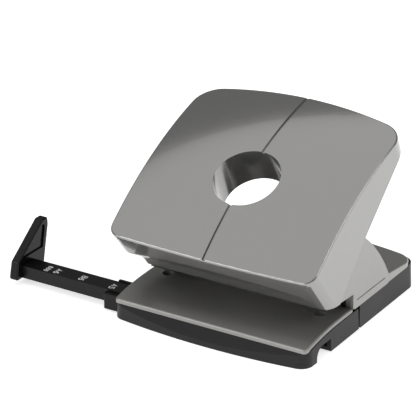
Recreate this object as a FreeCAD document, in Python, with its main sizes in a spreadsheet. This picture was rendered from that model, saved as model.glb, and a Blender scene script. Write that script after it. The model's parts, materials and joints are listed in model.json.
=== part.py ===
"""Two-hole desk punch: a wedge-shaped handle on a front axle, two spring-loaded punch pins in
C-shaped frames, a chip tray under the front half and a sliding paper guide on the left.

Frame: X across the punch (left is -X), Y from the front (paper side) to the back, Z up.
The origin is on the surface the punch stands on, midway between its sides and midway
between its front and rear corners. All lengths are in millimetres and all angles in degrees.
"""

import FreeCAD
import Part
import math
import os

import Sketcher
from FreeCAD import Placement, Rotation, Vector

DIMENSIONS = [
    # name, value, what it is
    ("foot_half_width", 50.7, "half of the base's width where it meets the feet"),
    ("side_draft", 2.4, "lean of the base's black sides"),
    ("front_tip_y", -54.5, "middle of the base's front edge"),
    ("rear_tip_y", 60.0, "middle of the base's rear edge"),
    ("front_bow", 4.0, "how far the middle of the front edge stands proud of its corners"),
    ("rear_bow", 7.0, "the same at the rear edge"),
    ("base_corner_radius", 8.0, "upright corners of the base"),
    ("base_wall", 1.8, "wall and floor of the tray and the rear base"),
    ("rear_base_height", 12.0, "top of the rear base's black side"),
    ("seam_y", -2.5, "middle of the upright seam between tray and rear base"),
    ("seam_gap", 0.6, "width of that seam"),
    ("plate_half_width", 50.0, "half of the base plate's width"),
    ("plate_front_y", -50.2, "front edge of the base plate"),
    ("plate_front_height", 9.3, "top of the plate where its gentle rise begins"),
    ("plate_height", 12.3, "flat top of the base plate, where the paper lies"),
    ("plate_flat_y", -20.0, "where the plate's rise ends"),
    ("plate_sheet", 1.0, "thickness of the base plate"),
    ("plate_rim", 2.0, "height of the plate's turned-down rim"),
    ("stop_y", -8.0, "paper stop: the housing's front face"),
    ("hole_spacing", 80.0, "distance between the two punched holes"),
    ("hole_margin", 12.0, "from the paper's edge to the middle of a hole"),
    ("pin_radius", 2.75, "punch pin, for a 5.5 mm hole"),
    ("guide_clearance", 0.05, "radial clearance of a pin in its guide and its die"),
    ("slot_height", 4.3, "paper slot between plate and upper jaw"),
    ("jaw_thickness", 5.0, "upper jaw, which guides the pin"),
    ("lower_jaw_height", 4.4, "lower jaw, under the plate"),
    ("frame_width", 12.0, "width of one punch frame"),
    ("axle_y", -34.0, "hinge axle"),
    ("axle_z", 30.5, "height of the hinge axle"),
    ("axle_radius", 2.2, "radius of the hinge axle"),
    ("lug_radius", 4.0, "frame's boss around the axle"),
    ("pad_offset", 8.0, "yoke's pressing face above the axle, and the pin head's dome radius"),
    ("yoke_sheet", 2.5, "thickness of the press yoke"),
    ("yoke_half_width", 48.6, "half of the press yoke's width"),
    ("handle_half_width", 52.9, "half of the handle's width"),
    ("face_front_y", -52.5, "lower end of the face's chord, on the centre line"),
    ("face_front_z", 43.9, "height of that point"),
    ("face_angle", 27.8, "rise of the face's chord"),
    ("face_length", 100.0, "face's length along its chord, on the centre line"),
    ("arch_chord", 89.8, "chord that the face's arch is measured over"),
    ("face_arch", 5.3, "height of that arch"),
    ("crown_radius", 459.0, "curve of the face from side to side"),
    ("face_front_bow", 2.2, "how far the middle of the front wall stands proud"),
    ("face_rear_bow", 6.5, "the same at its rear edge"),
    ("front_wall_angle", 39.8, "lean of the handle's front wall"),
    ("front_wall_radius", 6.0, "corner between the front wall and a side wall"),
    ("rear_corner_radius", 13.0, "rear corners of the face"),
    ("face_edge_radius", 0.9, "rounding all round the face"),
    ("handle_wall", 1.5, "wall of the handle shell"),
    ("rim_height", 2.6, "plain rim under the face's front edge"),
    ("rim_step", 0.5, "how far the front wall is set back under the rim"),
    ("opening_radius", 15.8, "round opening through the handle"),
    ("opening_y", -17.7, "middle of the opening on the face"),
    ("opening_z", 68.6, "height of that point"),
    ("opening_tilt", 29.0, "lean of the opening's axis from upright"),
    ("tube_length", 20.0, "depth of the tube round the opening"),
    ("parting_width", 1.6, "groove down the middle of the face"),
    ("parting_depth", 0.8, "depth of that groove"),
    ("cheek_half_width", 51.0, "half of the housing's width"),
    ("housing_wall", 1.8, "wall of the housing"),
    ("deck_front_y", 24.2, "where the housing's rear curve meets its deck"),
    ("deck_height", 16.9, "top of the deck there"),
    ("deck_rear_height", 13.3, "the same at its rear edge"),
    ("deck_inset", 2.0, "black rim left showing behind the deck"),
    ("arc_radius", 95.0, "housing's rear curve"),
    ("valley_half_width", 19.8, "hollow in the housing that the opening's tube drops into"),
    ("valley_height", 36.0, "floor of that hollow"),
    ("rail_front_y", -43.9, "front side of the guide rail"),
    ("rail_width", 9.5, "width of the guide rail"),
    ("rail_top", 9.2, "top of the guide rail"),
    ("rail_depth", 6.2, "height of the guide rail's section"),
    ("rail_stop_x", -106.0, "stop face, set near 105 mm, half of an A5 sheet's long side"),
    ("rail_length", 112.0, "guide rail, from the stop face to its inner end"),
    ("collar_x", -58.3, "outer face of the rail guide's collar"),
    ("tray_hinge_y", 0.0, "axis of the chip tray's hinge"),
    ("tray_hinge_z", 2.0, "height of that axis"),
]

DOC = FreeCAD.newDocument("HolePunch")
SHEET = DOC.addObject("Spreadsheet::Sheet", "Sizes")


class Size:
    """A number together with the sheet expression that gives it."""

    def __init__(self, value, text):
        self.value = value
        self.text = text

    def __add__(self, other):
        other = size(other)
        return Size(self.value + other.value, f"({self.text} + {other.text})")

    def __sub__(self, other):
        other = size(other)
        return Size(self.value - other.value, f"({self.text} - {other.text})")

    def __mul__(self, other):
        other = size(other)
        return Size(self.value * other.value, f"({self.text} * {other.text})")

    def __truediv__(self, other):
        other = size(other)
        return Size(self.value / other.value, f"({self.text} / {other.text})")

    def __neg__(self):
        return Size(-self.value, f"(0 - {self.text})")

    def __radd__(self, other):
        return size(other) + self

    def __rsub__(self, other):
        return size(other) - self

    def __rmul__(self, other):
        return size(other) * self


def size(number):
    return number if isinstance(number, Size) else Size(float(number), repr(float(number)))


def fill_sheet():
    """Write the driving dimensions to the sheet and return them by name."""
    named = {}
    for row, (name, value, meaning) in enumerate(DIMENSIONS, start=1):
        SHEET.set(f"A{row}", name)
        SHEET.set(f"B{row}", str(value))
        SHEET.set(f"C{row}", meaning)
        SHEET.setAlias(f"B{row}", name)
        named[name] = Size(value, f"Sizes.{name}")
    DOC.recompute()
    return named


D = fill_sheet()
LEFT, RIGHT = -1, 1
SIDES = {"left": LEFT, "right": RIGHT}
PARTS = []


# ---------------------------------------------------------------- helpers


def finish(label, thing):
    """Name a finished sub-part: its Label is its file's name."""
    thing.Label = label
    PARTS.append(thing)
    return thing


def body(name):
    return DOC.addObject("PartDesign::Body", name)


def sketch(owner, name, plane, at=(0, 0, 0), turn=None):
    """A sketch on one of the body's own planes, moved by at and turned by (axis, angle)."""
    drawing = owner.newObject("Sketcher::SketchObject", name)
    base = next(f for f in owner.Origin.OriginFeatures if f.Role == plane)
    drawing.AttachmentSupport = (base, [""])
    drawing.MapMode = "FlatFace"
    place = [size(c) for c in at]
    axis, angle = turn or (Vector(0, 0, 1), size(0))
    offset = Placement(Vector(*[c.value for c in place]), Rotation(axis, size(angle).value))
    drawing.AttachmentOffset = offset
    for letter, c in zip("xyz", place):
        drawing.setExpression(f"AttachmentOffset.Base.{letter}", c.text)
    if turn:
        drawing.setExpression("AttachmentOffset.Rotation.Angle", size(angle).text)
    return drawing


def pin_down(drawing, kind, geometry, point, distance):
    """Fix one coordinate of a point to a size in the sheet."""
    index = drawing.addConstraint(Sketcher.Constraint(kind, geometry, point, distance.value))
    drawing.setExpression(f"Constraints[{index}]", distance.text)


def outline(drawing, points, arcs=None):
    """Close a loop through the points; arcs gives corner: signed radius of the run after it.

    A positive radius bulges to the right of the direction of travel.
    """
    arcs = arcs or {}
    corners = [(size(x), size(y)) for x, y in points]
    ends = []
    for i, (x0, y0) in enumerate(corners):
        x1, y1 = corners[(i + 1) % len(corners)]
        start = Vector(x0.value, y0.value, 0)
        end = Vector(x1.value, y1.value, 0)
        if i not in arcs:
            g = drawing.addGeometry(Part.LineSegment(start, end))
            ends.append((g, 1, 2))
            continue
        radius = size(arcs[i])
        round_way = radius.value > 0
        half = (end - start).Length / 2
        depth = math.sqrt(max(0.0, radius.value**2 - half**2))
        left_way = Vector(-(end - start).y, (end - start).x, 0).normalize()
        middle = (start + end) / 2 + left_way * math.copysign(depth, radius.value)
        a, b = (start, end) if round_way else (end, start)
        from_angle = math.atan2(a.y - middle.y, a.x - middle.x)
        to_angle = math.atan2(b.y - middle.y, b.x - middle.x)
        if to_angle < from_angle:
            to_angle += 2 * math.pi
        ring = Part.Circle(middle, Vector(0, 0, 1), abs(radius.value))
        g = drawing.addGeometry(Part.ArcOfCircle(ring, from_angle, to_angle))
        ends.append((g, 1, 2) if round_way else (g, 2, 1))
        length = Size(abs(radius.value), f"abs({radius.text})")
        index = drawing.addConstraint(Sketcher.Constraint("Radius", g, length.value))
        drawing.setExpression(f"Constraints[{index}]", length.text)
    for i, (g, first, last) in enumerate(ends):
        nxt, nxt_first, _ = ends[(i + 1) % len(ends)]
        drawing.addConstraint(Sketcher.Constraint("Coincident", g, last, nxt, nxt_first))
        pin_down(drawing, "DistanceX", g, first, corners[i][0])
        pin_down(drawing, "DistanceY", g, first, corners[i][1])


def bowed_end(half, tip, bend, radius, sign):
    """The four points of a bowed end with rounded corners, in anticlockwise order.

    tip is the middle of the end, bend the radius of its curve, and sign the way it faces.
    """
    reach = root((bend - radius) * (bend - radius) - (half - radius) * (half - radius))
    centre = tip - bend * sign
    side_y = centre + reach * sign
    end_x = (half - radius) * bend / (bend - radius)
    end_y = centre + reach * bend / (bend - radius) * sign
    return [
        (half * sign, side_y),
        (end_x * sign, end_y),
        (-end_x * sign, end_y),
        (-half * sign, side_y),
    ]


def rectangle(drawing, left, bottom, right, top):
    outline(drawing, [(left, bottom), (right, bottom), (right, top), (left, top)])


def circle(drawing, x, y, radius):
    x, y, radius = size(x), size(y), size(radius)
    middle = Vector(x.value, y.value, 0)
    g = drawing.addGeometry(Part.Circle(middle, Vector(0, 0, 1), radius.value))
    pin_down(drawing, "DistanceX", g, 3, x)
    pin_down(drawing, "DistanceY", g, 3, y)
    index = drawing.addConstraint(Sketcher.Constraint("Radius", g, radius.value))
    drawing.setExpression(f"Constraints[{index}]", radius.text)


def root(number):
    return Size(math.sqrt(number.value), f"sqrt({number.text})")


def bow_radius(half_chord, bow):
    """Radius of an arc from its half chord and its height."""
    half_chord, bow = size(half_chord), size(bow)
    return (half_chord * half_chord + bow * bow) / (2 * bow)


def volume(owner):
    return owner.Shape.Volume if not owner.Shape.isNull() else 0.0


def pad(owner, drawing, length, both=False, back=False, draft=None):
    """Add the sketch's area, on one side of its plane or on both."""
    DOC.recompute()
    before = volume(owner)
    feature = owner.newObject("PartDesign::Pad", drawing.Name + "_pad")
    feature.Profile = drawing
    feature.SideType = "Symmetric" if both else "One side"
    feature.Reversed = back
    feature.setExpression("Length", size(length).text)
    if draft:
        feature.setExpression("TaperAngle", size(draft).text)
    DOC.recompute()
    if volume(owner) <= before:
        raise ValueError(f"{feature.Name} adds nothing")
    return feature


def pocket(owner, drawing, length, both=False, back=False):
    """Remove the sketch's area, against its normal, along it (back) or both ways."""
    DOC.recompute()
    before = volume(owner)
    feature = owner.newObject("PartDesign::Pocket", drawing.Name + "_pocket")
    feature.Profile = drawing
    feature.SideType = "Symmetric" if both else "One side"
    feature.Reversed = back
    feature.setExpression("Length", size(length).text)
    DOC.recompute()
    if volume(owner) >= before:
        raise ValueError(f"{feature.Name} cuts nothing")
    return feature


def edges_where(owner, test):
    """Names of the body's edges whose ends and middle all pass the test."""
    names = []
    for i, edge in enumerate(owner.Shape.Edges, start=1):
        first, last = edge.ParameterRange
        spots = [edge.valueAt(first + (last - first) * k) for k in (0.02, 0.5, 0.98)]
        if all(test(p) for p in spots):
            names.append(f"Edge{i}")
    return names


def fillet(owner, name, test, radius):
    feature = owner.newObject("PartDesign::Fillet", name)
    names = edges_where(owner, test)
    if not names:
        raise ValueError(f"{name} finds no edges")
    feature.Base = (owner.Tip if owner.Tip != feature else feature.BaseFeature, names)
    feature.setExpression("Radius", size(radius).text)
    DOC.recompute()
    return feature


def boolean(kind, name, first, others):
    """A Part boolean of finished objects: Part::Cut, Part::Common or Part::MultiFuse."""
    feature = DOC.addObject(kind, name)
    if kind == "Part::MultiFuse":
        feature.Shapes = [first] + others
    else:
        feature.Base = first
        feature.Tool = others[0]
    DOC.recompute()
    return feature


def cylinder(name, radius, height, place):
    feature = DOC.addObject("Part::Cylinder", name)
    feature.setExpression("Radius", size(radius).text)
    feature.setExpression("Height", size(height).text)
    feature.Placement = place
    DOC.recompute()
    return feature


def box(name, low, high):
    """A Part::Box between two corners given as sizes."""
    low = [size(c) for c in low]
    high = [size(c) for c in high]
    feature = DOC.addObject("Part::Box", name)
    for key, a, b in zip(("Length", "Width", "Height"), low, high):
        feature.setExpression(key, (b - a).text)
    for letter, a in zip("xyz", low):
        feature.setExpression(f"Placement.Base.{letter}", a.text)
    DOC.recompute()
    return feature


def upright(x, y):
    """A test for edges that stand at (x, y), within a few tenths of a millimetre."""
    return lambda p: abs(abs(p.x) - x) < 0.8 and abs(p.y - y) < 0.8


# ---------------------------------------------------------------- shared places

PIN_X = D["hole_spacing"] / 2
PIN_Y = D["stop_y"] - D["hole_margin"]
JAW_BOTTOM = D["plate_height"] + D["slot_height"]
JAW_TOP = JAW_BOTTOM + D["jaw_thickness"]
PLATE_UNDERSIDE = D["plate_height"] - D["plate_sheet"]
GUIDE_RADIUS = D["pin_radius"] + D["guide_clearance"]
FOOT_DEPTH = size(0.8)
FRAME_SCREWS_Y = (2.9, 8.5)
TRAY_REAR_Y = D["seam_y"] - D["seam_gap"] / 2
REAR_BASE_FRONT_Y = D["seam_y"] + D["seam_gap"] / 2
FLOOR_TOP = D["base_wall"]
FRONT_BEND = bow_radius(D["foot_half_width"], D["front_bow"])
REAR_BEND = bow_radius(D["foot_half_width"], D["rear_bow"])
PRESS_FACE_Z = D["axle_z"] + D["pad_offset"]
DIE_RADIUS = size(4.2)
DIE_BOTTOM = size(8.8)
PLATE_RISE_RADIUS = bow_radius(
    D["plate_flat_y"] - D["plate_front_y"], D["plate_height"] - D["plate_front_height"]
)


# ---------------------------------------------------------------- base


def rear_base():
    """Black moulded tub under the rear half, with ears for the tray's hinge pin."""
    part = body("rear_base")
    half = D["foot_half_width"]
    plan = sketch(part, "rear_base_plan", "XY_Plane")
    radius = D["base_corner_radius"]
    ends = bowed_end(half, D["rear_tip_y"], REAR_BEND, radius, 1)
    front = [(-half, REAR_BASE_FRONT_Y), (half, REAR_BASE_FRONT_Y)]
    outline(plan, ends + front, {0: radius, 1: REAR_BEND, 2: radius})
    pad(part, plan, D["rear_base_height"], draft=-D["side_draft"])
    inset = D["base_wall"] + 0.5
    hollow = sketch(part, "rear_base_hollow", "XY_Plane", (0, 0, D["rear_base_height"]))
    inner_front = REAR_BASE_FRONT_Y + D["base_wall"]
    inner = half - inset
    ends = bowed_end(inner, D["rear_tip_y"] - inset, REAR_BEND - inset, radius - inset, 1)
    outline(
        hollow,
        ends + [(-inner, inner_front), (inner, inner_front)],
        {0: radius - inset, 1: REAR_BEND - inset, 2: radius - inset},
    )
    pocket(part, hollow, D["rear_base_height"] - FLOOR_TOP)
    # The lower front edge gives way to the tray's rear wall as the tray swings.
    relief = sketch(part, "rear_base_relief", "YZ_Plane")
    outline(
        relief,
        [
            (REAR_BASE_FRONT_Y - 1, -1),
            (REAR_BASE_FRONT_Y + 1.8, -1),
            (REAR_BASE_FRONT_Y - 1, 1.8),
        ],
    )
    pocket(part, relief, 2 * half + 2, both=True)
    jaws = sketch(part, "rear_base_jaw_ways", "XZ_Plane")
    clear = D["frame_width"] / 2 + 0.4
    for side in SIDES.values():
        middle = PIN_X * side
        rectangle(jaws, middle - clear, FLOOR_TOP + 0.4, middle + clear, D["rear_base_height"] + 2)
    pocket(part, jaws, 6, both=True)
    lugs = sketch(part, "rear_base_lug_ways", "XZ_Plane")
    for side in SIDES.values():
        middle = size(22 * side)
        rectangle(lugs, middle - 2.6, size(0), middle + 2.6, D["rear_base_height"] + 2)
    pocket(part, lugs, 6.4, both=True)
    ears = sketch(part, "rear_base_ears", "YZ_Plane", (0, 0, 0))
    rectangle(ears, D["tray_hinge_y"] - 1.5, 0.1, D["tray_hinge_y"] + 3.2,
              D["tray_hinge_z"] + 2.4)
    pad(part, ears, 38, both=True)
    pin_way = sketch(part, "rear_base_pin_bore", "YZ_Plane")
    circle(pin_way, D["tray_hinge_y"], D["tray_hinge_z"], 1.02)
    pocket(part, pin_way, 60, both=True)
    bosses = sketch(part, "rear_base_screw_bosses", "XY_Plane", (0, 0, FLOOR_TOP - 0.4))
    for side in SIDES.values():
        for y in FRAME_SCREWS_Y:
            circle(bosses, PIN_X * side, y, 2.6)
        circle(bosses, 30 * side, 36, 3.2)
    pad(part, bosses, 1.0)
    holes = sketch(part, "rear_base_screw_holes", "XY_Plane")
    for side in SIDES.values():
        for y in FRAME_SCREWS_Y:
            circle(holes, PIN_X * side, y, 1.6)
        circle(holes, 30 * side, 36, 1.6)
    pocket(part, holes, 8, back=True)
    heads = sketch(part, "rear_base_head_recesses", "XY_Plane")
    for side in SIDES.values():
        for y in FRAME_SCREWS_Y:
            circle(heads, PIN_X * side, y, 2.7)
        circle(heads, 30 * side, 36, 2.7)
        circle(heads, 36 * side, 44, 5.1)
    pocket(part, heads, FOOT_DEPTH, back=True)
    finish("rear_base", part)


def chip_tray():
    """Black moulded tray under the front half; it swings down to drop the paper chips."""
    part = body("chip_tray")
    half = D["foot_half_width"]
    plan = sketch(part, "tray_plan", "XY_Plane")
    radius = D["base_corner_radius"] - 2
    ends = bowed_end(half, D["front_tip_y"], FRONT_BEND, radius, -1)
    rear = [(half, TRAY_REAR_Y), (-half, TRAY_REAR_Y)]
    outline(plan, ends + rear, {0: radius, 1: FRONT_BEND, 2: radius})
    pad(part, plan, D["plate_height"], draft=-D["side_draft"])
    # The side walls follow the plate's rise, one rim's height below it.
    drop = D["plate_rim"] + 0.15
    top = sketch(part, "tray_top_line", "YZ_Plane")
    front_top = D["plate_front_height"] - drop
    outline(
        top,
        [
            (D["plate_front_y"], front_top),
            (D["plate_flat_y"], D["plate_height"] - drop),
            (TRAY_REAR_Y + 1, D["plate_height"] - drop),
            (TRAY_REAR_Y + 1, D["plate_height"] + 3),
            (D["plate_front_y"] - 12, D["plate_height"] + 3),
            (D["plate_front_y"] - 12, front_top - 12.9),
        ],
        {0: -PLATE_RISE_RADIUS},
    )
    pocket(part, top, 2 * half + 4, both=True)
    inner = half - D["base_wall"] - 0.4
    hollow = sketch(part, "tray_hollow", "XY_Plane", (0, 0, D["plate_height"]))
    front_inner_y = D["plate_front_y"] + 1.4
    rear_inner_y = TRAY_REAR_Y - D["base_wall"]
    outline(
        hollow,
        [
            (-inner + 4, front_inner_y),
            (inner - 4, front_inner_y),
            (inner, front_inner_y + 4),
            (inner, rear_inner_y),
            (-inner, rear_inner_y),
            (-inner, front_inner_y + 4),
        ],
    )
    pocket(part, hollow, D["plate_height"] - FLOOR_TOP)
    jaws = sketch(part, "tray_jaw_ways", "XZ_Plane", (0, 0, -TRAY_REAR_Y))
    clear = D["frame_width"] / 2 + 0.4
    for side in SIDES.values():
        middle = PIN_X * side
        rectangle(jaws, middle - clear, size(6.2), middle + clear, size(14))
    pocket(part, jaws, 2 * D["base_wall"] + 1, both=True)
    collar = sketch(part, "tray_collar_way", "YZ_Plane", (0, 0, -half - 1))
    rectangle(collar, D["rail_front_y"] - 3.2, FLOOR_TOP - D["base_wall"] - 1,
              D["rail_front_y"] + D["rail_width"] + 3.0, D["plate_height"] + 1)
    pocket(part, collar, 4.2, back=True)
    # Finger notch under the right side, rounded at its front.
    notch = sketch(part, "tray_notch", "YZ_Plane", (0, 0, half - 7))
    outline(
        notch,
        [
            (-41.4, -1),
            (-28.7, -1),
            (-28.7, 6.2),
            (-36.6, 6.2),
            (-41.4, 1.0),
        ],
        {3: 5.4},
    )
    pocket(part, notch, 9, back=True)
    lugs = sketch(part, "tray_lugs", "YZ_Plane")
    pin_y = D["tray_hinge_y"]
    pin_z = D["tray_hinge_z"]
    outline(
        lugs,
        [
            (TRAY_REAR_Y - 0.5, pin_z - 1.8),
            (pin_y, pin_z - 1.8),
            (pin_y + 1.8, pin_z),
            (pin_y, pin_z + 1.8),
            (TRAY_REAR_Y - 0.5, pin_z + 1.8),
        ],
        {1: 1.8, 2: 1.8},
    )
    pad(part, lugs, 48, both=True)
    between = sketch(part, "tray_lug_gap", "YZ_Plane")
    rectangle(between, TRAY_REAR_Y, pin_z - 4, pin_y + 4, pin_z + 4)
    pocket(part, between, 40, both=True)
    bore = sketch(part, "tray_pin_bore", "YZ_Plane")
    circle(bore, pin_y, pin_z, 1.05)
    pocket(part, bore, 60, both=True)
    feet = sketch(part, "tray_foot_recesses", "XY_Plane")
    for side in SIDES.values():
        circle(feet, 34 * side, -42, 5.1)
    pocket(part, feet, FOOT_DEPTH, back=True)
    finish("chip_tray", part)


def tray_hinge_pin():
    """Steel rod through the tray's two lugs and the rear base's ear."""
    part = body("tray_hinge_pin")
    ring = sketch(part, "tray_hinge_pin_round", "YZ_Plane")
    circle(ring, D["tray_hinge_y"], D["tray_hinge_z"], 1.0)
    pad(part, ring, 49, both=True)
    finish("tray_hinge_pin", part)


def feet(name, x, y):
    """A pair of rubber pads set into the underside, one on each side."""
    part = body(name)
    pads = sketch(part, name + "_round", "XY_Plane")
    for side in SIDES.values():
        circle(pads, x * side, y, 5.0)
    part.AllowCompound = True
    pad(part, pads, FOOT_DEPTH)
    finish(name, part)


def base_plate():
    """Gray steel plate under the paper, with turned-down rims and a hole for each die."""
    part = body("base_plate")
    rear_y = D["stop_y"] - 0.2
    section = sketch(part, "plate_section", "YZ_Plane")
    front_y = D["plate_front_y"]
    outline(
        section,
        [
            (front_y, D["plate_front_height"] - D["plate_rim"]),
            (D["plate_flat_y"], D["plate_height"] - D["plate_rim"]),
            (rear_y, D["plate_height"] - D["plate_rim"]),
            (rear_y, D["plate_height"]),
            (D["plate_flat_y"], D["plate_height"]),
            (front_y, D["plate_front_height"]),
        ],
        {0: -PLATE_RISE_RADIUS, 4: PLATE_RISE_RADIUS},
    )
    pad(part, section, 2 * D["plate_half_width"], both=True)
    half = D["plate_half_width"].value
    rear = rear_y.value
    fillet(part, "plate_front_corners", upright(half, front_y.value), 2.0)
    flat = D["plate_height"].value

    def rim_edge(p):
        high = p.z > flat - 3.2 and p.y < rear - 0.5
        on_top = p.z > plate_top(p.y) - 0.4
        outer = abs(p.x) > half - 2.3 or p.y < front_y.value + 0.4
        return high and on_top and outer

    fillet(part, "plate_rolled_rim", rim_edge, 0.9)
    inner = sketch(part, "plate_inner_section", "YZ_Plane")
    sheet = D["plate_sheet"]
    outline(
        inner,
        [
            (front_y + sheet, D["plate_front_height"] - 12),
            (rear_y + 1, D["plate_height"] - 12),
            (rear_y + 1, PLATE_UNDERSIDE),
            (D["plate_flat_y"], PLATE_UNDERSIDE),
            (front_y + sheet, D["plate_front_height"] - sheet + 0.1),
        ],
        {3: PLATE_RISE_RADIUS - sheet},
    )
    pocket(part, inner, 2 * (D["plate_half_width"] - sheet), both=True)
    dies = sketch(part, "plate_die_holes", "XY_Plane")
    for side in SIDES.values():
        circle(dies, PIN_X * side, PIN_Y, DIE_RADIUS)
    pocket(part, dies, 30, back=True)
    # The turned-down rim is open where the rail guide's collar comes out.
    collar = sketch(part, "plate_collar_gap", "YZ_Plane", (0, 0, -D["plate_half_width"] - 1))
    rectangle(collar, D["rail_front_y"] - 1.8, size(2), D["rail_front_y"] + D["rail_width"] + 1.8,
              D["plate_front_height"] + 0.4)
    pocket(part, collar, 2.4, back=True)
    finish("base_plate", part)


def plate_top(y):
    """Height of the plate's top surface at y."""
    run = min(0.0, y - D["plate_flat_y"].value)
    radius = PLATE_RISE_RADIUS.value
    return D["plate_height"].value - radius + math.sqrt(radius**2 - run**2)


def dies():
    """Two hardened rings that the pins shear the paper against."""
    for name, side in SIDES.items():
        part = body("die_" + name)
        ring = sketch(part, f"die_{name}_ring", "XY_Plane", (0, 0, DIE_BOTTOM))
        circle(ring, PIN_X * side, PIN_Y, DIE_RADIUS)
        circle(ring, PIN_X * side, PIN_Y, GUIDE_RADIUS)
        pad(part, ring, D["plate_height"] - DIE_BOTTOM)
        finish("die_" + name, part)


# ---------------------------------------------------------------- punch units


def punch_frames():
    """C-shaped frames: the lower jaw carries the die, the upper jaw guides the pin."""
    for name, side in SIDES.items():
        part = body("punch_frame_" + name)
        middle = PIN_X * side
        profile = sketch(part, f"frame_{name}_side", "YZ_Plane", (0, 0, middle))
        lower_front = PIN_Y - 8
        column_front = D["stop_y"] + D["housing_wall"] + 0.5
        jaw_front = D["axle_y"] + 8.6
        outline(
            profile,
            [
                (lower_front, PLATE_UNDERSIDE - D["lower_jaw_height"]),
                (TRAY_REAR_Y + 1.4, PLATE_UNDERSIDE - D["lower_jaw_height"]),
                (REAR_BASE_FRONT_Y + 2.2, FLOOR_TOP + 0.6),
                (11, FLOOR_TOP + 0.6),
                (11, 28),
                (6.3, 33.4),
                (column_front, 33.4),
                (column_front, JAW_TOP),
                (D["axle_y"] + 9.4, JAW_TOP),
                round_axle(45),
                round_axle(165),
                round_axle(-75),
                (jaw_front, JAW_BOTTOM + 2.6),
                (jaw_front, JAW_BOTTOM),
                (D["stop_y"] + 0.3, JAW_BOTTOM),
                (D["stop_y"] + 0.3, PLATE_UNDERSIDE),
                (D["plate_flat_y"], PLATE_UNDERSIDE),
                (lower_front, PLATE_UNDERSIDE - 0.3),
            ],
            {9: D["lug_radius"], 10: D["lug_radius"]},
        )
        pad(part, profile, D["frame_width"], both=True)
        axle = sketch(part, f"frame_{name}_axle_bore", "YZ_Plane", (0, 0, middle))
        circle(axle, D["axle_y"], D["axle_z"], D["axle_radius"])
        pocket(part, axle, D["frame_width"] + 2, both=True)
        guide = sketch(part, f"frame_{name}_guide_bore", "XY_Plane", (0, 0, JAW_BOTTOM - 1))
        circle(guide, middle, PIN_Y, GUIDE_RADIUS)
        pocket(part, guide, 20, back=True)
        seat = sketch(part, f"frame_{name}_die_seat", "XY_Plane", (0, 0, DIE_BOTTOM))
        circle(seat, middle, PIN_Y, DIE_RADIUS)
        pocket(part, seat, PLATE_UNDERSIDE - DIE_BOTTOM, back=True)
        chute = sketch(part, f"frame_{name}_chip_chute", "XY_Plane", (0, 0, DIE_BOTTOM))
        circle(chute, middle, PIN_Y, 3.6)
        pocket(part, chute, 8)
        screws = sketch(part, f"frame_{name}_screw_holes", "XY_Plane")
        for y in FRAME_SCREWS_Y:
            circle(screws, middle, y, 1.5)
        pocket(part, screws, 12, back=True)
        finish("punch_frame_" + name, part)


def round_axle(angle):
    """Point on the frame's boss round the axle, at an angle in degrees."""
    turn = math.radians(angle)
    return (
        D["axle_y"] + D["lug_radius"] * math.cos(turn),
        D["axle_z"] + D["lug_radius"] * math.sin(turn),
    )


def frame_screws():
    """Four screws up through the rear base into the frames."""
    part = body("frame_screws")
    part.AllowCompound = True
    heads = sketch(part, "frame_screw_heads", "XY_Plane", (0, 0, 0.2))
    shanks = sketch(part, "frame_screw_shanks", "XY_Plane", (0, 0, FOOT_DEPTH - 0.1))
    for side in SIDES.values():
        for y in FRAME_SCREWS_Y:
            circle(heads, PIN_X * side, y, 2.6)
            circle(shanks, PIN_X * side, y, 1.5)
    pad(part, heads, FOOT_DEPTH - 0.2)
    pad(part, shanks, 10)
    finish("frame_screws", part)


def pin_profile(part, name, side):
    """Half section of a punch pin, to be turned about its own axis."""
    tip = JAW_BOTTOM + 0.4
    top = PRESS_FACE_Z - 0.25
    head = size(4.2)
    dome = D["pad_offset"]
    edge_drop = dome - Size(
        math.sqrt(dome.value**2 - head.value**2), f"sqrt({dome.text}^2 - {head.text}^2)"
    )
    half = sketch(part, f"pin_{name}_section", "XZ_Plane", (0, 0, -PIN_Y))
    middle = PIN_X * side
    outline(
        half,
        [
            (middle, tip + 0.9),
            (middle + D["pin_radius"] - 0.3, tip),
            (middle + D["pin_radius"], tip),
            (middle + D["pin_radius"], top - 3),
            (middle + head, top - 3),
            (middle + head, top - edge_drop),
            (middle, top),
        ],
        {5: dome},
    )
    return half


def punch_pins():
    """Steel pins with a concave cutting tip and a domed head."""
    for name, side in SIDES.items():
        part = body("punch_pin_" + name)
        half = pin_profile(part, name, side)
        axis = sketch(part, f"pin_{name}_axis", "XZ_Plane", (0, 0, -PIN_Y))
        start = Vector(PIN_X.value * side, 0, 0)
        axis.addGeometry(Part.LineSegment(start, start + Vector(0, 50, 0)))
        pin_down(axis, "DistanceX", 0, 1, PIN_X * side)
        pin_down(axis, "DistanceY", 0, 1, size(0))
        axis.addConstraint(Sketcher.Constraint("Vertical", 0))
        pin_down(axis, "DistanceY", 0, 2, size(50))
        DOC.recompute()
        turned = part.newObject("PartDesign::Revolution", f"pin_{name}_turned")
        turned.Profile = half
        turned.ReferenceAxis = (axis, ["Edge1"])
        turned.Angle = 360
        DOC.recompute()
        finish("punch_pin_" + name, part)


def punch_springs():
    """Coil springs between an upper jaw and a pin's head; they lift pins and handle."""
    for name, side in SIDES.items():
        part = body("punch_spring_" + name)
        wire_radius = size(0.45)
        coil_radius = D["pin_radius"] + 0.85
        bottom = JAW_TOP + wire_radius + 0.02
        top = PRESS_FACE_Z - 0.25 - 3 - wire_radius - 0.02
        wire = sketch(part, f"spring_{name}_wire", "XZ_Plane", (PIN_X * side, bottom, -PIN_Y))
        circle(wire, coil_radius, 0, wire_radius)
        DOC.recompute()
        coil = part.newObject("PartDesign::AdditiveHelix", f"spring_{name}_coil")
        coil.Profile = wire
        coil.ReferenceAxis = (wire, ["V_Axis"])
        coil.Mode = "height-turns-growth"
        coil.setExpression("Height", (top - bottom).text)
        coil.Turns = 5.5
        DOC.recompute()
        finish("punch_spring_" + name, part)


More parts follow.
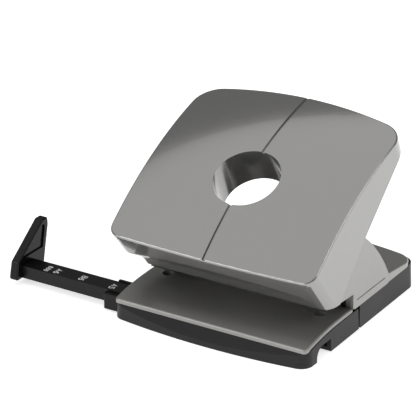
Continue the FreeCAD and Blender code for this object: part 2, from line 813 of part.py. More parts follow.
def press_yoke():
    """Steel channel inside the handle: its web presses the pins, its flanges hold the axle."""
    part = body("press_yoke")
    half = D["yoke_half_width"]
    sheet = D["yoke_sheet"]
    flange = size(2.0)
    front_y = D["axle_y"] - 9.5
    rear_y = D["axle_y"] + 21
    web = sketch(part, "yoke_web", "XY_Plane", (0, 0, PRESS_FACE_Z))
    rectangle(web, -half, front_y, half, rear_y)
    pad(part, web, sheet)
    sides = sketch(part, "yoke_flanges", "YZ_Plane")
    boss = size(3.85)
    outline(
        sides,
        [
            (front_y + 3, PRESS_FACE_Z + 0.5),
            (D["axle_y"] - boss, D["axle_z"]),
            (D["axle_y"], D["axle_z"] - boss),
            (D["axle_y"] + boss, D["axle_z"]),
            (D["axle_y"] + 11, PRESS_FACE_Z + 0.5),
        ],
        {1: boss, 2: boss},
    )
    pad(part, sides, 2 * half, both=True)
    inside = sketch(part, "yoke_between_flanges", "YZ_Plane")
    rectangle(inside, front_y - 1, D["axle_z"] - 12, rear_y + 1, PRESS_FACE_Z)
    pocket(part, inside, 2 * (half - flange), both=True)
    bore = sketch(part, "yoke_axle_bore", "YZ_Plane")
    circle(bore, D["axle_y"], D["axle_z"], D["axle_radius"] + 0.05)
    pocket(part, bore, 2 * half + 2, both=True)
    screws = sketch(part, "yoke_screw_holes", "XY_Plane", (0, 0, PRESS_FACE_Z - 1))
    for x, y in handle_screw_places():
        circle(screws, x, y, 1.6)
    pocket(part, screws, 8, back=True)
    finish("press_yoke", part)


def handle_screw_places():
    front = D["axle_y"] + 1
    rear = D["axle_y"] + 12
    return [(size(28 * side), y) for side in SIDES.values() for y in (front, rear)]


def hinge_axle():
    """Steel rod across the front, fixed in both frames; the yoke's flanges turn on it."""
    part = body("hinge_axle")
    rod = sketch(part, "axle_round", "YZ_Plane")
    circle(rod, D["axle_y"], D["axle_z"], D["axle_radius"])
    pad(part, rod, 2 * (D["yoke_half_width"] + 1.0), both=True)
    grooves = sketch(part, "axle_clip_grooves", "YZ_Plane")
    circle(grooves, D["axle_y"], D["axle_z"], D["axle_radius"] + 1)
    circle(grooves, D["axle_y"], D["axle_z"], D["axle_radius"] - 0.5)
    pocket(part, grooves, 2 * (D["yoke_half_width"] + 0.65), both=True)
    whole = sketch(part, "axle_between_grooves", "YZ_Plane")
    circle(whole, D["axle_y"], D["axle_z"], D["axle_radius"])
    pad(part, whole, 2 * (D["yoke_half_width"] + 0.15), both=True)
    finish("hinge_axle", part)


def axle_clips():
    """Retaining rings that snap into the grooves near the axle's ends."""
    part = body("axle_clips")
    part.AllowCompound = True
    start = D["yoke_half_width"] + 0.15
    for name, side in SIDES.items():
        ring = sketch(part, f"clip_{name}_ring", "YZ_Plane", (0, 0, start * side))
        circle(ring, D["axle_y"], D["axle_z"], D["axle_radius"] + 1.4)
        circle(ring, D["axle_y"], D["axle_z"], D["axle_radius"] - 0.5)
        pad(part, ring, 0.5, back=side == LEFT)
    mouth = sketch(part, "clip_mouths", "YZ_Plane")
    rectangle(mouth, D["axle_y"] - 1.1, D["axle_z"], D["axle_y"] + 1.1, D["axle_z"] + 6)
    pocket(part, mouth, 2 * (start + 1), both=True)
    finish("axle_clips", part)


# ---------------------------------------------------------------- handle


HANDLE_PROFILE = [
    (-62, 46),
    (-40.6, 28.6),
    (-35.3, 22.8),
    (-25.5, 22.3),
    (-3.2, 45.9),
    (30.6, 75.5),
    (46.6, 89.5),
    (46.6, 110),
    (-62, 110),
]
CORE_PROFILE = [
    (-58, 44),
    (-38.4, 28.9),
    (-34.4, 24.9),
    (-34.4, 10),
    (70, 10),
    (70, 110),
    (-58, 110),
]
OPEN_PROFILE = [(-75, 5), (70, 5), (70, 120), (-75, 120)]


def handle_block(name, profile, sides=0, front=0, top=0):
    """The handle's outer form, moved in at its sides and rear, its front and its top."""
    part = body(name)
    sides, front, top = size(sides), size(front), size(top)
    half = D["handle_half_width"] - sides
    side = sketch(part, name + "_side", "YZ_Plane")
    outline(side, profile)
    pad(part, side, 2 * half, both=True)
    lean = (Vector(1, 0, 0), D["front_wall_angle"])
    ahead = sketch(part, name + "_front", "XY_Plane", (0, -51.1, 41.2), lean)
    bend = bow_radius(D["handle_half_width"], D["face_front_bow"]) - front
    beyond_end(ahead, half, front - D["face_front_bow"], bend,
               D["front_wall_radius"] - sides, -1)
    pocket(part, ahead, 120, both=True)
    rise = (Vector(1, 0, 0), D["face_angle"])
    corner = (0, D["face_front_y"], D["face_front_z"])
    behind = sketch(part, name + "_rear", "XY_Plane", corner, rise)
    bend = bow_radius(D["handle_half_width"], D["face_rear_bow"]) - sides
    beyond_end(behind, half, D["face_length"] - sides, bend,
               D["rear_corner_radius"] - sides, 1)
    pocket(part, behind, 160, both=True)
    crown(part, name, top)
    return part


def beyond_end(drawing, half, tip, bend, radius, sign):
    """Area beyond a bowed end with rounded corners."""
    ends = bowed_end(half, tip, bend, radius, sign)
    far = tip + 60 * sign
    outline(
        drawing,
        ends
        + [
            (-half * sign - 10 * sign, ends[3][1]),
            (-half * sign - 10 * sign, far),
            (half * sign + 10 * sign, far),
            (half * sign + 10 * sign, ends[0][1]),
        ],
        {0: radius, 1: bend, 2: radius},
    )


def crown(part, name, drop):
    """Trim the top to the arched face, lowered by drop and turned about a far axis below."""
    turn = (Vector(0, 0, 1), D["face_angle"])
    corner = (D["face_front_y"], D["face_front_z"], 0)
    area = sketch(part, name + "_face_line", "YZ_Plane", corner, turn)
    radius = bow_radius(D["arch_chord"] / 2, D["face_arch"])
    before = size(-12)
    after = D["face_length"] + 16
    outline(
        area,
        [
            (before, arch_height(radius, before) - drop),
            (before, 90),
            (after, 90),
            (after, arch_height(radius, after) - drop),
        ],
        {3: radius - drop},
    )
    axis = sketch(part, name + "_crown_axis", "YZ_Plane", corner, turn)
    depth = D["face_arch"] - D["crown_radius"]
    g = axis.addGeometry(Part.LineSegment(Vector(0, depth.value, 0), Vector(90, depth.value, 0)))
    pin_down(axis, "DistanceX", g, 1, size(0))
    pin_down(axis, "DistanceY", g, 1, depth)
    pin_down(axis, "DistanceX", g, 2, size(90))
    pin_down(axis, "DistanceY", g, 2, depth)
    DOC.recompute()
    before_cut = volume(part)
    groove = part.newObject("PartDesign::Groove", name + "_crown")
    groove.Profile = area
    groove.ReferenceAxis = (axis, ["Edge1"])
    groove.Midplane = True
    groove.Angle = 16
    DOC.recompute()
    if volume(part) >= before_cut:
        raise ValueError("the crown cuts nothing")


def arch_height(radius, along):
    """Height of the face's arch over its chord, at a distance along the chord."""
    along = size(along)
    half = D["arch_chord"] / 2
    value = math.sqrt(radius.value**2 - (along.value - half.value) ** 2)
    text = f"sqrt({radius.text}^2 - ({along.text} - {half.text})^2)"
    return Size(value, text) - radius + D["face_arch"]


def round_face(part):
    """Round the edge that runs all the way round the handle's face."""
    face = max(part.Shape.Faces, key=lambda f: f.Area)
    names = [
        f"Edge{i}"
        for i, edge in enumerate(part.Shape.Edges, start=1)
        if any(edge.isSame(other) for other in face.Edges)
    ]
    feature = part.newObject("PartDesign::Fillet", "handle_face_edge")
    feature.Base = (feature.BaseFeature, names)
    feature.setExpression("Radius", "Sizes.face_edge_radius")
    DOC.recompute()


def front_step():
    """Skin taken off the front wall below its rim."""
    thick = handle_block("front_skin", OPEN_PROFILE, -2, -3, D["rim_height"])
    keep = handle_block("front_kept", OPEN_PROFILE, -3, D["rim_step"], -5)
    return boolean("Part::Cut", "front_step", thick, [keep])


def parting_groove():
    """Shallow groove down the middle of the face."""
    half = D["parting_width"] / 2
    strip = box("parting_strip", (-half, -60, 42), (half, 60, 110))
    keep = handle_block("parting_kept", OPEN_PROFILE, 0, 0, D["parting_depth"])
    return boolean("Part::Cut", "parting_groove", strip, [keep])


def handle_shell():
    """Gray moulded handle: an arched face with walls, a round opening and screw bosses."""
    outer = handle_block("handle_outer", HANDLE_PROFILE)
    round_face(outer)
    wall = D["handle_wall"]
    core = handle_block("handle_core", CORE_PROFILE, wall, wall, wall)
    shell = boolean("Part::Cut", "handle_hollowed", outer, [core])
    tilt = Rotation(Vector(1, 0, 0), D["opening_tilt"].value)
    along = tilt.multVec(Vector(0, 0, 1))
    middle = Vector(0, D["opening_y"].value, D["opening_z"].value)
    bottom = middle - along * D["tube_length"].value
    tube = cylinder("opening_tube", D["opening_radius"] + D["handle_wall"],
                    D["tube_length"] + 10, Placement(bottom, tilt))
    posts = []
    for i, (x, y) in enumerate(handle_screw_places()):
        foot = Vector(x.value, y.value, (PRESS_FACE_Z + D["yoke_sheet"]).value)
        posts.append(cylinder(f"screw_boss_{i}", 3.4, 60, Placement(foot, Rotation())))
    added = boolean("Part::MultiFuse", "handle_tube_and_bosses", tube, posts)
    inside = boolean("Part::Common", "handle_trimmed_additions", added, [outer])
    whole = boolean("Part::MultiFuse", "handle_joined", shell, [inside])
    cutters = [cylinder("opening_bore", D["opening_radius"], D["tube_length"] + 30,
                        Placement(middle - along * (D["tube_length"].value + 10), tilt))]
    for i, (x, y) in enumerate(handle_screw_places()):
        foot = Vector(x.value, y.value, PRESS_FACE_Z.value)
        cutters.append(cylinder(f"screw_pilot_{i}", 1.25, 11, Placement(foot, Rotation())))
    # The left side wall stops higher than the right one in front of the axle.
    cutters.append(box("left_corner_relief", (-60, -60, 10), (-41, -27, 28.4)))
    cutters += [front_step(), parting_groove()]
    removed = boolean("Part::MultiFuse", "handle_cutters", cutters[0], cutters[1:])
    cut = boolean("Part::Cut", "handle_cut", whole, [removed])
    finish("handle_shell", cut)


def handle_screws():
    """Four screws up through the yoke's web into the handle's bosses."""
    part = body("handle_screws")
    part.AllowCompound = True
    heads = sketch(part, "handle_screw_heads", "XY_Plane", (0, 0, PRESS_FACE_Z - 1.8))
    shanks = sketch(part, "handle_screw_shanks", "XY_Plane", (0, 0, PRESS_FACE_Z - 1))
    for x, y in handle_screw_places():
        circle(heads, x, y, 2.6)
        circle(shanks, x, y, 1.25)
    pad(part, heads, 1.8)
    pad(part, shanks, 11.5)
    finish("handle_screws", part)


# ---------------------------------------------------------------- housing


def housing():
    """Gray moulded cover behind the handle: side cheeks, rear curve, paper stop and deck."""
    part = body("housing")
    half = D["cheek_half_width"] - 0.4
    plan = sketch(part, "deck_plan", "XY_Plane", (0, 0, D["rear_base_height"]))
    front_y = D["stop_y"] + 1.5
    radius = D["base_corner_radius"] + 3
    bend = REAR_BEND - D["deck_inset"]
    ends = bowed_end(half, D["rear_tip_y"] - D["deck_inset"], bend, radius, 1)
    outline(
        plan,
        ends + [(-half, front_y), (half, front_y)],
        {0: radius, 1: bend, 2: radius},
    )
    pad(part, plan, 12)
    slope = sketch(part, "deck_slope", "YZ_Plane")
    outline(
        slope,
        [
            (-20, deck_top(-20)),
            (70, deck_top(70)),
            (70, 60),
            (-20, 60),
        ],
    )
    pocket(part, slope, 2 * half + 2, both=True)

    def deck_rim(p):
        return p.z > deck_top(p.y).value - 0.05 and p.y > front_y.value + 0.5

    fillet(part, "deck_rolled_rim", deck_rim, 1.1)
    side = sketch(part, "housing_side", "YZ_Plane")
    outline(
        side,
        [
            (D["stop_y"], D["rear_base_height"]),
            (D["deck_front_y"], D["rear_base_height"]),
            (D["deck_front_y"], D["deck_height"] + 0.2),
            (-3.7, 46.8),
            (D["stop_y"], 46.8),
        ],
        {2: D["arc_radius"]},
    )
    pad(part, side, 2 * D["cheek_half_width"], both=True)
    valley = sketch(part, "housing_valley", "XZ_Plane", (0, 0, -20))
    wide = D["valley_half_width"]
    rectangle(valley, -wide, D["valley_height"], wide, size(60))
    pocket(part, valley, 80, both=True)
    wall = D["housing_wall"]
    hollow = sketch(part, "housing_hollow", "YZ_Plane")
    outline(
        hollow,
        [
            (D["stop_y"] + wall, 5),
            (D["deck_front_y"] - wall, 5),
            (D["deck_front_y"] - wall, D["deck_height"] - 0.5),
            (6.6, D["valley_height"] - wall),
            (D["stop_y"] + wall, D["valley_height"] - wall),
        ],
        {2: D["arc_radius"] - wall},
    )
    pocket(part, hollow, 2 * (D["cheek_half_width"] - wall), both=True)
    for name, sign in SIDES.items():
        tower = sketch(part, f"housing_tower_{name}", "YZ_Plane",
                       (0, 0, (D["cheek_half_width"] - wall) * sign))
        outline(
            tower,
            [
                (D["stop_y"] + wall, 30),
                (11.3, 30),
                (-3.9, 45.0),
                (D["stop_y"] + wall, 45.0),
            ],
            {1: D["arc_radius"] - wall},
        )
        depth = D["cheek_half_width"] - wall - wide - wall
        pocket(part, tower, depth, back=sign == LEFT)
        line = sketch(part, f"housing_side_line_{name}", "YZ_Plane",
                      (0, 0, D["cheek_half_width"] * sign))
        rectangle(line, -6, 15.7, 20.6, 16.2)
        pocket(part, line, 0.35, back=sign == LEFT)
    under = sketch(part, "deck_hollow", "YZ_Plane")
    outline(
        under,
        [
            (20, 5),
            (46, 5),
            (46, deck_top(46) - wall),
            (20, deck_top(20) - wall),
        ],
    )
    pocket(part, under, 2 * (half - 2.4), both=True)
    windows = sketch(part, "housing_jaw_windows", "XZ_Plane", (0, 0, -D["stop_y"]))
    clear = D["frame_width"] / 2 + 0.5
    for sign in SIDES.values():
        middle = PIN_X * sign
        rectangle(windows, middle - clear, size(5), middle + clear, JAW_TOP + 0.6)
    pocket(part, windows, 2 * wall + 0.4, both=True)
    for name, sign in SIDES.items():
        cheek = sketch(part, f"housing_cheek_{name}", "YZ_Plane",
                       (0, 0, (D["cheek_half_width"] - 1.4) * sign))
        outline(
            cheek,
            [
                (-26.5, 21.1),
                (-9.5, 20.0),
                (-9.5, 12.6),
                (D["stop_y"] + 1, 12.6),
                (D["stop_y"] + 1, 46.8),
                (-9.0, 46.8),
            ],
        )
        pad(part, cheek, 1.4, back=sign == LEFT)
    posts = sketch(part, "housing_screw_posts", "XY_Plane", (0, 0, FLOOR_TOP + 0.6))
    for sign in SIDES.values():
        circle(posts, 30 * sign, 36, 3.2)
    pad(part, posts, D["deck_rear_height"] + 1.5 - FLOOR_TOP - 0.6)
    pilots = sketch(part, "housing_screw_pilots", "XY_Plane")
    for sign in SIDES.values():
        circle(pilots, 30 * sign, 36, 1.25)
    pocket(part, pilots, 12, back=True)
    finish("housing", part)


def deck_top(y):
    """Height of the deck's top at y."""
    run = D["rear_tip_y"] - D["deck_inset"] - D["deck_front_y"]
    fall = (D["deck_height"] - D["deck_rear_height"]) / run
    return D["deck_height"] - (size(y) - D["deck_front_y"]) * fall


def housing_screws():
    """Two screws up through the rear base into the housing's posts."""
    part = body("housing_screws")
    part.AllowCompound = True
    heads = sketch(part, "housing_screw_heads", "XY_Plane", (0, 0, 0.2))
    shanks = sketch(part, "housing_screw_shanks", "XY_Plane", (0, 0, FOOT_DEPTH - 0.1))
    for side in SIDES.values():
        circle(heads, 30 * side, 36, 2.6)
        circle(shanks, 30 * side, 36, 1.25)
    pad(part, heads, FOOT_DEPTH - 0.2)
    pad(part, shanks, 10)
    finish("housing_screws", part)


# ---------------------------------------------------------------- paper guide


def rail_guide():
    """Black channel under the plate, with a collar on the left that the rail slides through."""
    part = body("rail_guide")
    gap = size(0.25)
    low_y = D["rail_front_y"] - gap
    high_y = D["rail_front_y"] + D["rail_width"] + gap
    low_z = D["rail_top"] - D["rail_depth"] - gap
    wall = size(1.3)
    channel = sketch(part, "guide_channel", "YZ_Plane", (0, 0, -50.4))
    rectangle(channel, low_y - wall, low_z - 0.4, high_y + wall, D["plate_front_height"] - 1.9)
    pad(part, channel, 98)
    collar = sketch(part, "guide_collar", "YZ_Plane", (0, 0, D["collar_x"]))
    front_wall = D["rail_front_y"] - 2.8
    rear_wall = high_y + 1.4
    outline(
        collar,
        [
            (front_wall, 0.7),
            (rear_wall, 0.7),
            (rear_wall, D["rail_top"] + 0.5),
            (high_y, D["rail_top"] + 0.5),
            (low_y, D["rail_top"] - 0.9),
            (front_wall, D["rail_top"] - 0.9),
        ],
    )
    pad(part, collar, -50.4 - D["collar_x"])
    way = sketch(part, "guide_way", "YZ_Plane", (0, 0, D["collar_x"] - 1))
    rectangle(way, low_y, low_z, high_y, D["rail_top"] + 5)
    pocket(part, way, 120, back=True)
    outside = D["collar_x"].value

    def collar_edge(p):
        return p.x < outside + 0.05 and not low_y.value - 0.1 < p.y < high_y.value + 0.1

    fillet(part, "collar_edges", collar_edge, 0.5)
    finish("rail_guide", part)


def guide_rail():
    """Black rail, hollow underneath, that sets the distance from the stop to the holes."""
    part = body("guide_rail")
    rear_y = D["rail_front_y"] + D["rail_width"]
    low_z = D["rail_top"] - D["rail_depth"]
    tenon = size(3)
    section = sketch(part, "rail_section", "YZ_Plane", (0, 0, D["rail_stop_x"] - tenon))
    rectangle(section, D["rail_front_y"], low_z, rear_y, D["rail_top"])
    pad(part, section, D["rail_length"] + tenon)
    hollow = sketch(part, "rail_hollow", "XY_Plane", (0, 0, low_z))
    rectangle(hollow, D["rail_stop_x"] + 4, D["rail_front_y"] + 1.5,
              D["rail_stop_x"] + D["rail_length"] - 2, rear_y - 1.5)
    pocket(part, hollow, D["rail_depth"] - 1.6, back=True)
    finish("guide_rail", part)


def rail_stop():
    """Upright black fin on the rail's outer end, which the sheet's side is laid against."""
    part = body("rail_stop")
    thick = size(4.5)
    fin = sketch(part, "fin_outline", "YZ_Plane", (0, 0, D["rail_stop_x"]))
    outline(
        fin,
        [
            (-48.6, 2.6),
            (-26.4, 2.6),
            (-22.0, 22.5),
            (-22.3, 26.3),
            (-26.7, 26.3),
            (-46.5, 11.5),
        ],
    )
    pad(part, fin, thick, back=True)
    middle = D["rail_stop_x"].value - thick.value / 2

    def across(p):
        return abs(p.x - middle) < thick.value / 2 - 0.05

    fillet(part, "fin_corners", across, 1.4)
    fillet(part, "fin_edges", lambda p: not across(p), 0.8)
    panel = sketch(part, "fin_panel", "YZ_Plane", (0, 0, D["rail_stop_x"]))
    outline(
        panel,
        [
            (-43.4, 12.4),
            (-27.0, 12.4),
            (-25.0, 21.6),
            (-25.4, 23.6),
            (-27.4, 23.6),
        ],
    )
    pocket(part, panel, 0.8)
    socket = sketch(part, "fin_socket", "YZ_Plane", (0, 0, D["rail_stop_x"]))
    low_z = D["rail_top"] - D["rail_depth"]
    rectangle(socket, D["rail_front_y"], low_z, D["rail_front_y"] + D["rail_width"],
              D["rail_top"])
    pocket(part, socket, 3)
    finish("rail_stop", part)


# ---------------------------------------------------------------- build


def check_and_write():
    """Stop on any failed object or bad solid, then write one file for each sub-part."""
    DOC.recompute()
    for thing in DOC.Objects:
        if "Invalid" in thing.State or "Error" in thing.State:
            raise ValueError(f"{thing.Name} failed: {thing.State}")
    for part in PARTS:
        if part.Shape.isNull() or not part.Shape.isValid():
            raise ValueError(f"{part.Label} has no valid shape")
    os.makedirs("parts", exist_ok=True)
    for part in PARTS:
        part.Shape.exportStep(f"parts/{part.Label}.step")
        solids = len(part.Shape.Solids)
        print(f"{part.Label}: {solids} solid(s), {part.Shape.Volume / 1000:.2f} cm3")


rear_base()
chip_tray()
tray_hinge_pin()
feet("rear_feet", 36, 44)
feet("tray_feet", 34, -42)
base_plate()
dies()
punch_frames()
frame_screws()
punch_pins()
punch_springs()
press_yoke()
hinge_axle()
axle_clips()
handle_shell()
handle_screws()
housing()
housing_screws()
rail_guide()
guide_rail()
rail_stop()
check_and_write()
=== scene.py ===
"""Studio view of the two-hole desk punch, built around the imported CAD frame.

Everything is in metres in the CAD row frame: +X right, +Y to the back, +Z up.
"""

import json
import math

import bpy
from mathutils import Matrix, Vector

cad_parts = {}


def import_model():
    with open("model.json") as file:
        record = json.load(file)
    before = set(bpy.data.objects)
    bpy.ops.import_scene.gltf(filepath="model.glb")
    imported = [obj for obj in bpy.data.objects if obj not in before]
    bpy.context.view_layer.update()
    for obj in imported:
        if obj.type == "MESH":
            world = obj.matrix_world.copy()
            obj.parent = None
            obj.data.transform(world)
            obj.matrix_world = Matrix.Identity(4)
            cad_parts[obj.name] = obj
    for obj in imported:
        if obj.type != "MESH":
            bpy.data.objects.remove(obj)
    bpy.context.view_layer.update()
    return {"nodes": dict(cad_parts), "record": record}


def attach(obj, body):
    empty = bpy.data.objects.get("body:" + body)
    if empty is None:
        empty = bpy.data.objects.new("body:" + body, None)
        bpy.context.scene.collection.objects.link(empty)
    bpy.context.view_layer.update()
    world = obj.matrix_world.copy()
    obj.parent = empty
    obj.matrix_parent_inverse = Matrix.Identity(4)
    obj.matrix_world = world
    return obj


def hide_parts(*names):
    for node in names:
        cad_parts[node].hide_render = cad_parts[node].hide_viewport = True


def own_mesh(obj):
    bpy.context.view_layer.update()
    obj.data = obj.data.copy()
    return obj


MM = 0.001
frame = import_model()
nodes = frame["nodes"]
bpy.context.scene.view_settings.view_transform = "Standard"


# ---------------------------------------------------------------- materials


def shader(name, color, rough, metal=0.0, coat=0.0, coat_rough=0.05, specular=0.5):
    """A Principled material; the constants that are the same all over sit on its sockets."""
    material = bpy.data.materials.new(name)
    material.use_nodes = True
    tree = material.node_tree
    main = tree.nodes["Principled BSDF"]
    main.inputs["Base Color"].default_value = (*color, 1)
    main.inputs["Roughness"].default_value = rough
    main.inputs["Metallic"].default_value = metal
    main.inputs["Coat Weight"].default_value = coat
    main.inputs["Coat Roughness"].default_value = coat_rough
    main.inputs["Specular IOR Level"].default_value = specular
    return material, tree, main


def place(tree):
    """Object coordinates, which are the row frame's metres on every piece."""
    return tree.nodes.new("ShaderNodeTexCoord").outputs["Object"]


def noise(tree, scale, detail=3.0, stretch=(1, 1, 1)):
    mapping = tree.nodes.new("ShaderNodeMapping")
    mapping.inputs["Scale"].default_value = stretch
    tree.links.new(place(tree), mapping.inputs["Vector"])
    texture = tree.nodes.new("ShaderNodeTexNoise")
    texture.inputs["Scale"].default_value = scale
    texture.inputs["Detail"].default_value = detail
    tree.links.new(mapping.outputs["Vector"], texture.inputs["Vector"])
    return texture.outputs["Fac"]


def spread(tree, factor, low, high):
    """The texture's middle range stretched to run from low to high."""
    node = tree.nodes.new("ShaderNodeMapRange")
    node.inputs["From Min"].default_value = 0.3
    node.inputs["From Max"].default_value = 0.7
    node.inputs["To Min"].default_value = low
    node.inputs["To Max"].default_value = high
    tree.links.new(factor, node.inputs["Value"])
    return node.outputs["Result"]


def tint(tree, main, factor, dark, light):
    ramp = tree.nodes.new("ShaderNodeValToRGB")
    ramp.color_ramp.elements[0].position = 0.3
    ramp.color_ramp.elements[1].position = 0.7
    ramp.color_ramp.elements[0].color = (*dark, 1)
    ramp.color_ramp.elements[1].color = (*light, 1)
    tree.links.new(factor, ramp.inputs["Fac"])
    tree.links.new(ramp.outputs["Color"], main.inputs["Base Color"])


def bump(tree, main, height, strength, distance):
    node = tree.nodes.new("ShaderNodeBump")
    node.inputs["Strength"].default_value = strength
    node.inputs["Distance"].default_value = distance
    tree.links.new(height, node.inputs["Height"])
    tree.links.new(node.outputs["Normal"], main.inputs["Normal"])


def scaled(color, factor):
    return tuple(c * factor for c in color)


def moulded(name, color, rough, metal=0.0, coat=0.0, coat_rough=0.05, grain=0.10,
            grain_scale=5200.0, flake=0.04, specular=0.5):
    """Moulded or painted surface: fine grain, with slow changes in tone and gloss."""
    material, tree, main = shader(name, color, rough, metal, coat, coat_rough, specular)
    tone = noise(tree, 2600.0, 2.0)
    tint(tree, main, tone, scaled(color, 1 - flake), scaled(color, 1 + flake))
    wear = noise(tree, 45.0, 4.0)
    tree.links.new(spread(tree, wear, rough * 0.93, rough * 1.07), main.inputs["Roughness"])
    bump(tree, main, noise(tree, grain_scale, 2.0), grain, 0.00003)
    return material


def drawn_steel(name, color, rough, along=(1, 30, 30)):
    """Steel with fine drawn lines along one axis."""
    material, tree, main = shader(name, color, rough, 1.0)
    lines = noise(tree, 120.0, 4.0, along)
    tint(tree, main, lines, scaled(color, 0.86), scaled(color, 1.08))
    tree.links.new(spread(tree, lines, rough * 0.8, rough * 1.25), main.inputs["Roughness"])
    bump(tree, main, lines, 0.08, 0.00004)
    return material


handle_paint = moulded("handle_paint", (0.280, 0.277, 0.272), 0.15, 0.72, 0.40, 0.03, 0.03)
housing_paint = moulded("housing_paint", (0.285, 0.280, 0.270), 0.30, 0.65, 0.2, 0.08, 0.05)
plate_paint = moulded("plate_paint", (0.270, 0.266, 0.254), 0.36, 0.62, 0.10, 0.12, 0.06)
base_black = moulded("base_black", (0.0105, 0.0092, 0.0100), 0.42, 0.0, 0.0, 0.1, 0.20,
                     3800.0, 0.12, 0.28)
satin_black = moulded("satin_black", (0.0040, 0.0040, 0.0042), 0.34, 0.0, 0.0, 0.1, 0.15,
                      4200.0, 0.12, 0.22)
gloss_black = moulded("gloss_black", (0.0035, 0.0035, 0.0036), 0.20, 0.0, 0.0, 0.03, 0.04,
                      specular=0.22)
rubber = moulded("rubber", (0.020, 0.020, 0.020), 0.8, 0.0, 0.0, 0.1, 0.4, 1500.0, 0.2, 0.3)
steel = drawn_steel("ground_steel", (0.42, 0.42, 0.43), 0.28)
# Steel darkened as painted shade, for the frames that sit in the shade under the handle.
steel_darkened_as_shade = drawn_steel("steel_painted_shade", (0.045, 0.045, 0.047), 0.50)
zinc = drawn_steel("zinc_sheet", (0.20, 0.20, 0.205), 0.42)
white_print = moulded("white_print", (0.80, 0.80, 0.79), 0.5, grain=0.05, flake=0.03)

FINISHES = {
    "handle_gray": handle_paint,
    "housing_gray": housing_paint,
    "plate_gray": plate_paint,
    "black_base": base_black,
    "black_guide": satin_black,
    "black_gloss": gloss_black,
    "rubber_feet": rubber,
    "steel": steel,
    "zinc_steel": zinc,
}
for entry in frame["record"]["subparts"]:
    node = nodes[entry["node"]]
    node.data.materials.clear()
    node.data.materials.append(FINISHES[entry["material_slot"]])
# The frames are darker than their slot, as painted shade for the shade under the handle, and
# the dies grayer, so that they don't stand out.
for side in ("left", "right"):
    nodes["punch_frame_" + side].data.materials[0] = steel_darkened_as_shade
    nodes["die_" + side].data.materials[0] = plate_paint


# ---------------------------------------------------------------- marks on the rail

# Each letter is a few lines in a box one unit wide and LETTER_HEIGHT units high.
STROKES = {
    "A": [
        [(0, 0), (0.5, 1.5), (1, 0)],
        [(0.2, 0.5), (0.8, 0.5)],
    ],
    "B": [
        [(0, 0), (0, 1.5), (0.7, 1.5), (0.95, 1.3), (0.95, 1.0), (0.7, 0.8), (0, 0.8)],
        [(0.65, 0.8), (1, 0.6), (1, 0.2), (0.75, 0), (0, 0)],
    ],
    "5": [
        [(0.95, 1.5), (0.1, 1.5), (0.1, 0.85), (0.7, 0.92), (1, 0.7), (1, 0.25), (0.7, 0),
         (0, 0.05)],
    ],
    "6": [
        [(0.9, 1.5), (0.3, 1.25), (0, 0.75), (0, 0.25), (0.25, 0), (0.75, 0), (1, 0.25),
         (1, 0.6), (0.75, 0.85), (0.1, 0.8)],
    ],
    "8": [
        [(0.5, 0.8), (0.1, 1.0), (0.1, 1.3), (0.35, 1.5), (0.65, 1.5), (0.9, 1.3), (0.9, 1.0),
         (0.5, 0.8), (0.05, 0.55), (0, 0.25), (0.3, 0), (0.7, 0), (1, 0.25), (0.95, 0.55),
         (0.5, 0.8)],
    ],
}
LETTER_HEIGHT = 1.5
LETTER_GAP = 0.5
HALF_STROKE = 0.15
PRINT_BOTTOM = -0.02
PRINT_TOP = 0.03
RAIL_TOP = 9.2
PRINT_Y = -40.1


def ribbon(points, half_width):
    """Left and right edges of a line drawn through the points."""
    left, right = [], []
    for i, (x, y) in enumerate(points):
        before = Vector(points[max(i - 1, 0)])
        after = Vector(points[min(i + 1, len(points) - 1)])
        way = (after - before).normalized()
        side = Vector((-way.y, way.x)) * half_width
        left.append((x + side.x, y + side.y))
        right.append((x - side.x, y - side.y))
    return left, right


def print_mark(text, middle_x, height, name):
    """Raised white print on the rail; its tops point to +X and it reads towards -Y."""
    unit = height / LETTER_HEIGHT
    pitch = unit * (1 + LETTER_GAP)
    start = (len(text) * pitch - LETTER_GAP * unit) / 2
    verts, faces = [], []
    for k, letter in enumerate(text):
        for points in STROKES[letter]:
            left, right = ribbon(points, HALF_STROKE)
            first = len(verts)
            for lift in (PRINT_BOTTOM, PRINT_TOP):
                for u, v in left + right:
                    verts.append((
                        (middle_x + v * unit - height / 2) * MM,
                        (PRINT_Y + start - k * pitch - u * unit) * MM,
                        (RAIL_TOP + lift) * MM,
                    ))
            n = len(points)
            top = first + 2 * n
            for i in range(n - 1):
                faces.append((top + i, top + n + i, top + n + i + 1, top + i + 1))
                faces.append((first + i, top + i, top + i + 1, first + i + 1))
                faces.append((first + n + i + 1, top + n + i + 1, top + n + i, first + n + i))
            faces.append((first, first + n, top + n, top))
            faces.append((first + 2 * n - 1, first + n - 1, top + n - 1, top + 2 * n - 1))
    mesh = bpy.data.meshes.new(name)
    mesh.from_pydata(verts, [], faces)
    mesh.materials.append(white_print)
    thing = bpy.data.objects.new(name, mesh)
    bpy.context.scene.collection.objects.link(thing)
    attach(thing, "guide")


print_mark("A5", -57.3, 2.6, "mark_a5")
print_mark("B6", -74.1, 2.6, "mark_b6")
print_mark("A6", -88.2, 2.6, "mark_a6")
print_mark("888", -93.6, 2.0, "mark_888")


# ---------------------------------------------------------------- punch springs

PIN_X = 40
PIN_Y = -20
COIL_RADIUS = 3.6
WIRE_RADIUS = 0.45
COIL_BOTTOM = 22.07
COIL_HEIGHT = 12.71
COIL_TURNS = 5.5
STEPS_PER_TURN = 32
SIDES_OF_WIRE = 12


